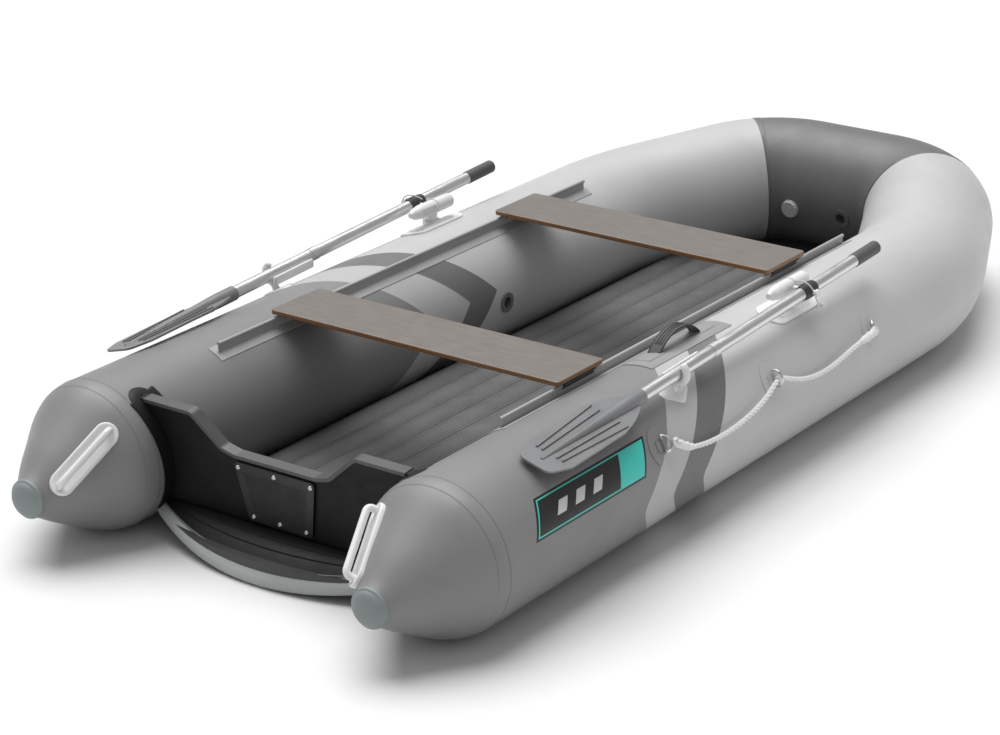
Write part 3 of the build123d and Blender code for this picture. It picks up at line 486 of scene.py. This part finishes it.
def lifeline(side, suffix):
    control = [on_tube(y, angle, distance - TUBE_R, side) for y, angle, distance in LIFELINE]
    path = spline_points(control, 10)
    piece = rope(f"lifeline_rope_{suffix}", path, LINE_D, "hull", ROPE)
    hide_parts(f"lifeline_{suffix}")


def leash(side, suffix):
    control = [at(side * x, y, z) for x, y, z in LEASH]
    path = spline_points(control, 10)
    piece = rope(f"leash_cord_{suffix}", path, LEASH_D, f"rowlock_{suffix}", CORD)
    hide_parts(f"leash_{suffix}")


SIDES = ((1, "starboard"), (-1, "port"))
for side, suffix in SIDES:
    lifeline(side, suffix)
    leash(side, suffix)

# ---- soft edges on the CAD pieces -----------------------------------------------------------
for name, width in (("seat_aft", 0.0012), ("seat_fore", 0.0012), ("transom_board", 0.002),
                    ("transom_trim", 0.0008), ("motor_pad", 0.0015)):
    bevel(nodes[name], width)
for stem, width in (("rowlock_base", 0.0012), ("rowlock_swivel", 0.0012), ("oar_blade", 0.0014)):
    for _, suffix in SIDES:
        bevel(nodes[f"{stem}_{suffix}"], width)


# ---- seams and tapes on the hull ------------------------------------------------------------
def cone_at(y, angle, lift=0.0, side=1):
    """A point on a stern cone (or on the tube just ahead of it)."""
    share = min(max((y - CONE_TIP_Y) / CONE_RUN, 0), 1)
    x = CONE_TIP[0] + share * (TUBE_X - CONE_TIP[0])
    z = CONE_TIP[1] + share * (TUBE_R - CONE_TIP[1])
    radius = TUBE_R
    for (y0, r0), (y1, r1) in zip(CONE_SHAPE, CONE_SHAPE[1:]):
        if y0 <= y <= y1:
            radius = r0 + (r1 - r0) * (y - y0) / (y1 - y0)
    radius += lift
    return at(side * (x + radius * cos(radians(angle))), y, z + radius * sin(radians(angle)))


def band(name, point_at, rows, columns, body, material, closed=False):
    """A thin sheet over a grid of places; its rim is drawn down so that it meets the skin."""
    verts, faces = [], []
    for i, u in enumerate(rows):
        for j, v in enumerate(columns):
            rim = i in (0, len(rows) - 1) or (not closed and j in (0, len(columns) - 1))
            verts.append(point_at(u, v, 0.0 if rim else 1.0))
    across = len(columns)
    for i in range(len(rows) - 1):
        for j in range(across if closed else across - 1):
            k = (j + 1) % across
            faces.append((i * across + j, (i + 1) * across + j, (i + 1) * across + k, i * across + k))
    return add_mesh(name, verts, faces, body, material)


def spread(low, high, count):
    return [low + (high - low) * i / (count - 1) for i in range(count)]


def cone_seams(side, suffix):
    """Two fine welts where the cone meets the tube."""
    for k, y_low in enumerate((212.0, 247.0)):
        rows = [y_low, y_low + 0.7, y_low + 2.3, y_low + 3]
        band(f"cone_seam_{suffix}_{k}", lambda y, a, f: cone_at(y, a, 0.2 + 0.9 * f, side), rows,
             spread(0, 355, 72), "hull", SEAM, closed=True)


def hull_line():
    """Centres along the starboard half of the hull, from the straight tube to amidships."""
    knee = Vector((TUBE_X, KNEE_Y, TUBE_R))
    corner = Vector(BOW_CORNER)
    points = [Vector((TUBE_X, CONE_Y, TUBE_R))]
    ends = ((knee, corner, KNEE_BEND), (corner, Vector((0, corner.y, corner.z)), CORNER_BEND))
    for here, ahead, bend in ends:
        into = (here - points[-1]).normalized()
        out = (ahead - here).normalized()
        turn = into.angle(out)
        reach = bend * tan(turn / 2)
        inward = (out - into * out.dot(into)).normalized()
        start = here - into * reach
        centre = start + inward * bend
        steps = 24
        for i in range(steps + 1):
            swing = turn * i / steps
            points.append(centre - inward * (bend * cos(swing)) + into * (bend * sin(swing)))
    points.append(Vector((0, corner.y, corner.z)))
    return points


def bow_tapes():
    """Dark tape over each bow seam."""
    line = even_steps(hull_line(), 3.0)[::-1]
    travelled = 0.0
    rows = []
    for a, b in zip(line, line[1:]):
        if BOW_SEAM - TAPE_HALF <= travelled <= BOW_SEAM + TAPE_HALF:
            rows.append((a, (a - b).normalized()))
        travelled += (b - a).length
    for side, suffix in SIDES:
        def place(row, angle, f):
            centre, along = row
            out = Vector((-along.y, along.x, 0)).normalized() * -1
            up = out.cross(along).normalized()
            if up.z < 0:
                up = -up
            radius = TUBE_R + 0.25 + 0.8 * f
            p = centre + (out * cos(radians(angle)) + up * sin(radians(angle))) * radius
            return at(side * p.x, p.y, p.z)
        band(f"bow_seam_{suffix}", place, rows, spread(0, 355, 72), "hull", BOW, closed=True)


for side, suffix in SIDES:
    cone_seams(side, suffix)
bow_tapes()


# ---- side panels: a plain graphic in place of lettering -------------------------------------
PANEL_AFT, PANEL_LENGTH, PANEL_SLANT = 347.0, 425.0, 42.0
PANEL_LOW, PANEL_SPAN = 12.5, 27.5    # degrees round the tube
RIM_ACROSS = 0.29         # weight of the distance from a long edge against that from an end


def panel_material():
    """Dark panel with a teal rim, a teal end block and three plain light blocks."""
    n = Nodes("side_panel")
    uv = n.tree.nodes.new("ShaderNodeUVMap").outputs[0]
    u, v, _ = n.axes(uv)
    teal, dark = (0.055, 0.6, 0.52, 1), grey(0.012)
    rim_u = n.math("MINIMUM", u, n.math("SUBTRACT", 1.0, u))
    rim_v = n.math("MULTIPLY", n.math("MINIMUM", v, n.math("SUBTRACT", 1.0, v)), RIM_ACROSS)
    edge = n.math("MINIMUM", rim_u, rim_v)
    line = n.math("MULTIPLY", n.ramp(edge, 0.016, 0.018), n.ramp(edge, 0.026, 0.028, 1.0, 0.0))
    block = n.math("MULTIPLY", n.ramp(u, 0.755, 0.757), n.ramp(edge, 0.016, 0.018))
    slant = n.math("ADD", u, n.math("MULTIPLY", v, -0.06))
    bars = n.math("GREATER_THAN", n.math("SINE", n.math("MULTIPLY", slant, 2 * pi / 0.16)), 0.0)
    field = n.math("MULTIPLY", n.ramp(slant, 0.158, 0.16), n.ramp(slant, 0.558, 0.56, 1.0, 0.0))
    height = n.math("MULTIPLY", n.ramp(v, 0.34, 0.35), n.ramp(v, 0.66, 0.67, 1.0, 0.0))
    mark = n.math("MULTIPLY", bars, n.math("MULTIPLY", field, height))
    tone = n.mix(n.math("MAXIMUM", line, block), dark, teal)
    tone = n.mix(mark, tone, grey(0.6))
    n.bump(n.noise(700.0, 2), 0.0002, 0.3)
    return n.finish(tone, n.ramp(n.noise(20.0, 3), 0.3, 0.7, 0.3, 0.42))


def side_panel(side, suffix, material):
    """The panel follows the tube; its ends lean with the stripes."""
    columns, rows = 40, 14
    verts, faces, uvs = [], [], []
    for i in range(rows + 1):
        v = i / rows
        for j in range(columns + 1):
            u = j / columns
            y = PANEL_AFT + PANEL_SLANT * v + PANEL_LENGTH * u
            angle = PANEL_LOW + PANEL_SPAN * v
            lift = 0.6 if 0 < i < rows and 0 < j < columns else 0.1
            verts.append(on_tube(y, angle, lift, side))
            uvs.append((u, v))
    wide = columns + 1
    for i in range(rows):
        for j in range(columns):
            faces.append((i * wide + j, i * wide + j + 1, (i + 1) * wide + j + 1, (i + 1) * wide + j))
    panel = add_mesh(f"side_panel_{suffix}", verts, faces, "hull", material)
    layer = panel.data.uv_layers.new(name="panel")
    for loop in panel.data.loops:
        layer.data[loop.index].uv = uvs[loop.vertex_index]


PANEL = panel_material()
for side, suffix in SIDES:
    side_panel(side, suffix, PANEL)


# ---- stern: light skin rolled up round the bottom, and the dark apron above it --------------
def stern_roll():
    """Light skin rolled up round the bowed aft edge, a welt along it, and the apron up to the board."""
    rows, columns = spread(-1, 1, 49), spread(0, 1, 9)

    def bottom_edge(u):
        bowed = u * u
        return BOTTOM_HALF * u, BOTTOM_AFT + BOTTOM_BOW * bowed, BOTTOM_KEEL_Z + BOTTOM_LIFT * bowed

    def roll(u, v, f):
        x, y, z = bottom_edge(u)
        height = (46 - 14 * u * u) * v
        return at(x, y - 9 * sin(pi * v) + 14 * v * v - 3, z + height - 1)

    def apron(u, v, f):
        x, y, z = bottom_edge(u)
        top_y, top_z = y + 11, z + 45 - 14 * u * u
        foot_y, foot_z = BOARD_FOOT
        sag = sin(pi * v) * 13 * (1 - u * u)
        return at(x * (1 - 0.03 * v), top_y + (foot_y - top_y) * v,
                  top_z + (foot_z - top_z) * v + sag)

    band("stern_skin_roll", roll, rows, columns, "hull", KEEL)
    band("stern_apron", apron, rows, spread(0, 1, 9), "hull", BLACK_FABRIC)
    welt = [apron(u, 0.0, 1) + Vector((0, -0.001, 0.001)) for u in spread(-1, 1, 60)]
    verts, faces = tube_along(welt, lambda i, a: 0.0022, around=8)
    add_mesh("stern_welt", verts, faces, "hull", SEAM)
    for k, level in enumerate((0.35, 0.62)):
        crease = [apron(u, level, 1) + Vector((0, -0.0006, 0.0008)) for u in spread(-0.96, 0.96, 60)]
        verts, faces = tube_along(crease, lambda i, a: 0.0016, around=6)
        add_mesh(f"apron_stitch_{k}", verts, faces, "hull", BLACK_FABRIC)


def corner_patches():
    """Round reinforcing patches over the ends of the transom's top edge."""
    for side, suffix in SIDES:
        def patch(r, a, f):
            y = CORNER_Y + CORNER_R * r * cos(radians(a))
            turn = CORNER_ANGLE + degrees(CORNER_R * r * sin(radians(a)) / TUBE_R)
            return on_tube(y, turn, 0.4 + 3.6 * f * min(1, 3 * (1 - r)), side)
        band(f"corner_patch_{suffix}", patch, spread(0.02, 1, 7), spread(0, 350, 36), "hull", BLACK_FABRIC,
             closed=True)


stern_roll()
corner_patches()


# ---- motor pad: rows of small raised bricks, and domed screws -------------------------------
def on_board(x, z, out=0.0):
    """A point on the transom's aft face, out millimetres behind it."""
    lean = (0, -1 / UP_BOARD, -RAKE / UP_BOARD)
    return at(x, TRANSOM_Y + RAKE * (TRANSOM_TOP - z) + out * lean[1], z + out * lean[2])


def pad_grid():
    """Staggered rows of small raised bricks, inside the pad's sloping sides."""
    verts, faces = [], []
    pitch_x, pitch_z, rise = 8.5, 4.6, 0.9
    wide, high = pitch_x - 1.4, pitch_z - 1.3
    z = 122.0
    row = 0
    while z < 219:
        half = PAD_HALF + PAD_FLARE * (z - PAD_FOOT) / PAD_HEIGHT - 17
        x = -half + (pitch_x / 2 if row % 2 else 0)
        while x + wide < half:
            base = len(verts)
            for out, inset in ((PAD_T, 0.0), (PAD_T + rise, 0.5)):
                for dx, dz in ((inset, inset), (wide - inset, inset), (wide - inset, high - inset),
                               (inset, high - inset)):
                    verts.append(on_board(x + dx, z + dz, out))
            faces.append((base + 4, base + 5, base + 6, base + 7))
            for k in range(4):
                m = (k + 1) % 4
                faces.append((base + k, base + m, base + 4 + m, base + 4 + k))
            x += pitch_x
        z += pitch_z
        row += 1
    add_mesh("pad_grid", verts, faces, "hull", PAD, smooth=False)


def pad_screw_heads():
    """Domed heads with a hexagon socket."""
    verts, faces = [], []
    outline = ((6.2, 7.0), (6.2, 8.2), (5.4, 9.6), (4.2, 10.4), (2.9, 10.7), (2.7, 10.3), (2.7, 8.6),
               (0.05, 8.5))   # radius, height off the board
    around = 24
    for z, reach in SCREW_ROWS:
        for x in (-reach, 0, reach):
            base = len(verts)
            for radius, out in outline:
                for j in range(around):
                    angle = 2 * pi * j / around
                    flat = cos(pi / 6) / cos((angle % (pi / 3)) - pi / 6) if radius < 2.8 else 1
                    away = radius * flat
                    verts.append(on_board(x + away * cos(angle), z + away * sin(angle), out))
            for i in range(len(outline) - 1):
                for j in range(around):
                    k = (j + 1) % around
                    faces.append((base + i * around + j, base + i * around + k, base + (i + 1) * around + k,
                                  base + (i + 1) * around + j))
    heads = add_mesh("pad_screw_heads", verts, faces, "hull", STEEL)
    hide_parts("pad_screws")


pad_grid()
pad_screw_heads()


# ---- carry handle ---------------------------------------------------------------------------
def strap(name, centre_at, steps, half_width, thick, body, material, across=10, crown=0.0):
    """A flat strap: centre_at(share) gives a point and the strap's side and outward directions."""
    verts, faces = [], []
    ring = []
    for j in range(across + 1):
        s = -1 + 2 * j / across
        ring.append((s, 0.5 + crown * (1 - s * s)))
    for j in range(across, -1, -1):
        s = -1 + 2 * j / across
        ring.append((s, -0.5))
    for i in range(steps + 1):
        p, sideways, outward = centre_at(i / steps)
        for s, h in ring:
            verts.append(p + sideways * (s * half_width) + outward * (h * thick))
    count = len(ring)
    for i in range(steps):
        for j in range(count):
            k = (j + 1) % count
            faces.append((i * count + j, i * count + k, (i + 1) * count + k, (i + 1) * count + j))
    faces.append(tuple(range(count))[::-1])
    faces.append(tuple(steps * count + j for j in range(count)))
    return add_mesh(name, verts, faces, body, material)


def carry_arc(share, lift=0.0, shift=0.0):
    """A point on the webbing's arch, with its sideways and outward directions."""
    half = (CARRY_FORE - CARRY_AFT) / 2
    crown = TUBE_R + sqrt(TUBE_R**2 - (TUBE_X - CARRY_X)**2)
    radius = (half**2 + CARRY_RISE**2) / (2 * CARRY_RISE)
    swing = asin(half / radius) * (2 * share - 1)
    middle = (CARRY_AFT + CARRY_FORE) / 2
    centre_z = crown + CARRY_RISE - radius
    outward = Vector((0, sin(swing), cos(swing)))
    p = at(CARRY_X + shift, middle, centre_z) + outward * ((radius - 2 + lift) / 1000)
    return p, Vector((1, 0, 0)), outward


def carry_handle():
    """Webbing arch with welted edges and ribs, held by a patch at each end."""
    web = strap("carry_strap", carry_arc, 48, 0.0155, 0.003, "hull", WEBBING)
    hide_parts("carry_webbing")
    for k, shift in enumerate((-15.0, 15.0)):
        edge = [carry_arc(s, 0.0, shift)[0] for s in spread(0.0, 1.0, 60)]
        verts, faces = tube_along(edge, lambda i, a: 0.0024, around=10)
        add_mesh(f"carry_edge_{k}", verts, faces, "hull", BLACK)
    for k, shift in enumerate((-7.0, 0.0, 7.0)):
        rib = [carry_arc(s, 2.2, shift)[0] for s in spread(0.14, 0.86, 50)]
        verts, faces = tube_along(rib, lambda i, a: 0.0016, around=8)
        add_mesh(f"carry_rib_{k}", verts, faces, "hull", TRIM)
    for k, (y0, y1) in enumerate(((1062.0, 1128.0), (1284.0, 1350.0))):
        def tab(y, x, f):
            angle = degrees(acos((x - TUBE_X) / TUBE_R))
            return on_tube(y, angle, 1.9 + 1.6 * f)
        columns = [CARRY_X + x for x in (-24, -23, *spread(-21, 21, 6), 23, 24)]
        band(f"carry_tab_{k}", tab, [y0, y0 + 1, *spread(y0 + 3, y1 - 3, 6), y1 - 1, y1], columns,
             "hull", PATCH)


carry_handle()


# ---- stern handles and cone caps ------------------------------------------------------------
HANDLE_ENDS = ((35.0, 152.0), (180.0, 130.0))   # station, angle round the cone
HANDLE_WIDTH, HANDLE_RISE = 58.0, 26.0


def layered_shell(rings, around):
    """Faces that join a stack of rings and close the last one."""
    faces = []
    for i in range(rings - 1):
        for j in range(around):
            k = (j + 1) % around
            faces.append((i * around + j, i * around + k, (i + 1) * around + k, (i + 1) * around + j))
    faces.append(tuple((rings - 1) * around + j for j in range(around)))
    return faces


def stern_handle(side, suffix):
    """Oblong dished plate with a raised bar to hold."""
    aft, fore = (cone_at(y, angle) for y, angle in HANDLE_ENDS)
    run = (fore - aft).normalized()
    angle = radians((HANDLE_ENDS[0][1] + HANDLE_ENDS[1][1]) / 2)
    lean = (TUBE_R - CONE_TIP_R) / CONE_RUN
    normal = Vector((cos(angle), -lean, sin(angle))).normalized()
    middle = cone_at(107.5, degrees(angle))
    across = normal.cross(run).normalized()
    half = (fore - aft).length * 500

    def place(u, v, h):
        p = middle + (run * u + across * v + normal * h) / 1000
        return Vector((side * p.x, p.y, p.z))

    around, verts = 56, []
    layers = ((0, -6), (0, 3), (1.2, 4.8), (3.5, 5.6), (8, 5.4), (11, 3.2), (16, 2.6), (26, 2.4))
    for inset, h in layers:
        radius = HANDLE_WIDTH / 2 - inset
        for j in range(around):
            a = 2 * pi * j / around
            end = 1 if cos(a) >= 0 else -1
            verts.append(place(end * (half + 8 - HANDLE_WIDTH / 2) + radius * cos(a), radius * sin(a), h))
    plate = add_mesh(f"handle_plate_{suffix}", verts, layered_shell(len(layers), around), "hull", WHITE)
    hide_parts(f"stern_handle_{suffix}")
    reach, knee, knee_foot = half - 10, 13, 12

    def knee_point(end, t):
        return place(end * (reach - knee * (1 - cos(t))), 0, knee_foot + (HANDLE_RISE - knee_foot) * sin(t))

    bar = [place(-reach, 0, 0), place(-reach, 0, 9)]
    bar += [knee_point(-1, t) for t in spread(0, pi / 2, 8)]
    bar += [place(u, 0, HANDLE_RISE) for u in spread(-reach + 20, reach - 20, 12)]
    bar += [knee_point(1, t) for t in spread(pi / 2, 0, 8)]
    bar += [place(reach, 0, 9), place(reach, 0, 0)]
    verts, faces = tube_along(bar, lambda i, a: 0.0086, around=18)
    add_mesh(f"handle_bar_{suffix}", verts, faces, "hull", WHITE)


def cone_dome(side, suffix):
    """Smooth domed cap over the cone's small end."""
    around = 64
    outline = ((47, 0), (47, 4), (46, 7), (44, 8), (42.5, 8.4), (41.5, 10), (38.5, 14.5), (33, 18.5),
               (26, 21), (17, 22.6), (8, 23.4), (2, 23.6))
    verts = [at(side * (CONE_TIP[0] + r * cos(2 * pi * j / around)), CONE_TIP_Y - depth,
                CONE_TIP[1] + r * sin(2 * pi * j / around)) for r, depth in outline for j in range(around)]
    dome = add_mesh(f"cone_dome_{suffix}", verts, layered_shell(len(outline), around), "hull", CAP)
    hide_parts(f"cone_cap_{suffix}")


for side, suffix in SIDES:
    stern_handle(side, suffix)
    cone_dome(side, suffix)


# ---- rope ends: spliced eyes round the rings, and the lashing at the middle ring -------------
def splice(side, suffix):
    """Thickened spliced ends with eyes at the outer rings, and a lashing at the middle one."""
    control = [on_tube(y, angle, distance - TUBE_R, side) for y, angle, distance in LIFELINE]
    path = spline_points(control, 10)
    steps = even_steps(path, 0.002)
    for k, (line, anchor) in enumerate(((steps, RING_STATIONS[0]), (steps[::-1], RING_STATIONS[2]))):
        out = (line[0] - line[1]).normalized()
        body = [line[0] + out * 0.004, *line[:34]]
        verts, faces = tube_along(body, lambda i, a: (0.0098 + 0.0011 * sin(3 * a + i * 0.55))
                                  * (1 - 0.35 * max(0, (i - 20) / 15)), around=18)
        add_mesh(f"line_splice_{suffix}_{k}", verts, faces, "hull", ROPE)
        across = out.cross(tube_normal(anchor[1], side)).normalized()
        loop = []
        for i in range(33):
            a = 2 * pi * i / 32
            loop.append(line[0] + out * (0.007 + 0.009 * cos(a)) + across * (0.0085 * sin(a)))
        rope(f"line_eye_{suffix}_{k}", loop, 0.009, "hull", ROPE)
    ring = on_tube(*RING_STATIONS[1], 17.7, side)
    middle = min(range(len(steps)), key=lambda i: (steps[i] - ring).length)
    coil = []
    _, n, b = frames_along(steps)[middle]
    for i in range(97):
        turn = 2 * pi * i / 24
        place = steps[middle - 5 + round(i / 10)]
        coil.append(place + (n * cos(turn) + b * sin(turn)) * 0.0088)
    rope(f"line_lashing_{suffix}", coil, 0.0042, "hull", ROPE)


for side, suffix in SIDES:
    splice(side, suffix)


# ---- oar clips: smooth hook, cradle bar and lobed plate -------------------------------------
def oar_clip(side, suffix):
    """Lobed plate on the tube, a post with a hook round the shaft, and a bar along its inboard side."""
    axis_z = PIVOT[2] + (CLIP_Y - PIVOT[1]) * OAR_SLOPE

    def lobe(r, a, f):
        y = CLIP_Y + (44 + 7 * cos(radians(2 * a))) * r * cos(radians(a))
        turn = CLIP_ANGLE + degrees((40 + 4 * cos(radians(4 * a))) * r * sin(radians(a)) / TUBE_R)
        return on_tube(y, turn, 0.3 + 3.6 * f * min(1, 5 * (1 - r)), side)

    plate = band(f"clip_plate_{suffix}", lobe, [0.02, *spread(0.2, 0.86, 5), 0.93, 0.98, 1.0],
                 spread(0, 352.5, 48), "hull", WHITE, closed=True)
    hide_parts(f"oar_clip_{suffix}")
    hook = []
    for angle in spread(-100, 62, 34):
        out, up = CLIP_REACH * cos(radians(angle)), CLIP_REACH * sin(radians(angle))
        hook.append(at(side * (PIVOT[0] + out), CLIP_Y, axis_z + up))
    foot = [at(side * (PIVOT[0] - 10 + 3 * k), CLIP_Y, axis_z - 44 + 6.5 * k) for k in range(3)]
    path = foot + hook[4:]
    verts, faces = tube_along(path, lambda i, a: 0.0062 * (1 + 0.55 * abs(cos(a))) if i < len(path) - 2
                              else 0.0052 * (1 + 0.4 * abs(cos(a))), around=14)
    add_mesh(f"clip_hook_{suffix}", verts, faces, "hull", WHITE)
    post = [at(side * (PIVOT[0] - 8), CLIP_Y, axis_z - z) for z in spread(64, 26, 8)]
    verts, faces = tube_along(post, lambda i, a: 0.009 - 0.0004 * i, around=16)
    add_mesh(f"clip_post_{suffix}", verts, faces, "hull", WHITE)

    def bar(s):
        y = CLIP_Y - 26 + 150 * s
        z = PIVOT[2] + (y - PIVOT[1]) * OAR_SLOPE - 8
        return at(side * (PIVOT[0] - CLIP_REACH), y, z), Vector((0, 0, 1)), Vector((-side, 0, 0))

    strap(f"clip_bar_{suffix}", bar, 20, 0.011, 0.006, "hull", WHITE, crown=0.3)


for side, suffix in SIDES:
    oar_clip(side, suffix)


# ---- floor, light ---------------------------------------------------------------------------
def sun_light(name, towards, strength, spread_angle):
    data = bpy.data.lights.new(name, "SUN")
    data.energy = strength
    data.angle = radians(spread_angle)
    light = bpy.data.objects.new(name, data)
    light.rotation_euler = Vector(towards).to_track_quat("Z", "Y").to_euler()
    bpy.context.scene.collection.objects.link(light)


def studio():
    world = bpy.data.worlds.new("studio")
    bpy.context.scene.world = world
    world.use_nodes = True
    world.node_tree.nodes["Background"].inputs[0].default_value = (1, 1, 1, 1)
    world.node_tree.nodes["Background"].inputs[1].default_value = 0.36
    bpy.context.scene.view_settings.view_transform = "Standard"
    sun_light("key", (-0.32, 0.2, 1.0), 3.3, 55)
    n = Nodes("studio_floor")
    tone = n.mix(n.ramp(n.noise(2.0, 3), 0.3, 0.7), grey(0.78), grey(0.8))
    n.finish(tone, 0.9, specular=0.1)
    mesh = bpy.data.meshes.new("studio_floor")
    mesh.from_pydata([(-60, -60, -0.001), (60, -60, -0.001), (60, 60, -0.001), (-60, 60, -0.001)], [],
                     [(0, 1, 2, 3)])
    mesh.materials.append(n.material)
    ground = bpy.data.objects.new("studio_floor", mesh)
    bpy.context.scene.collection.objects.link(ground)


studio()
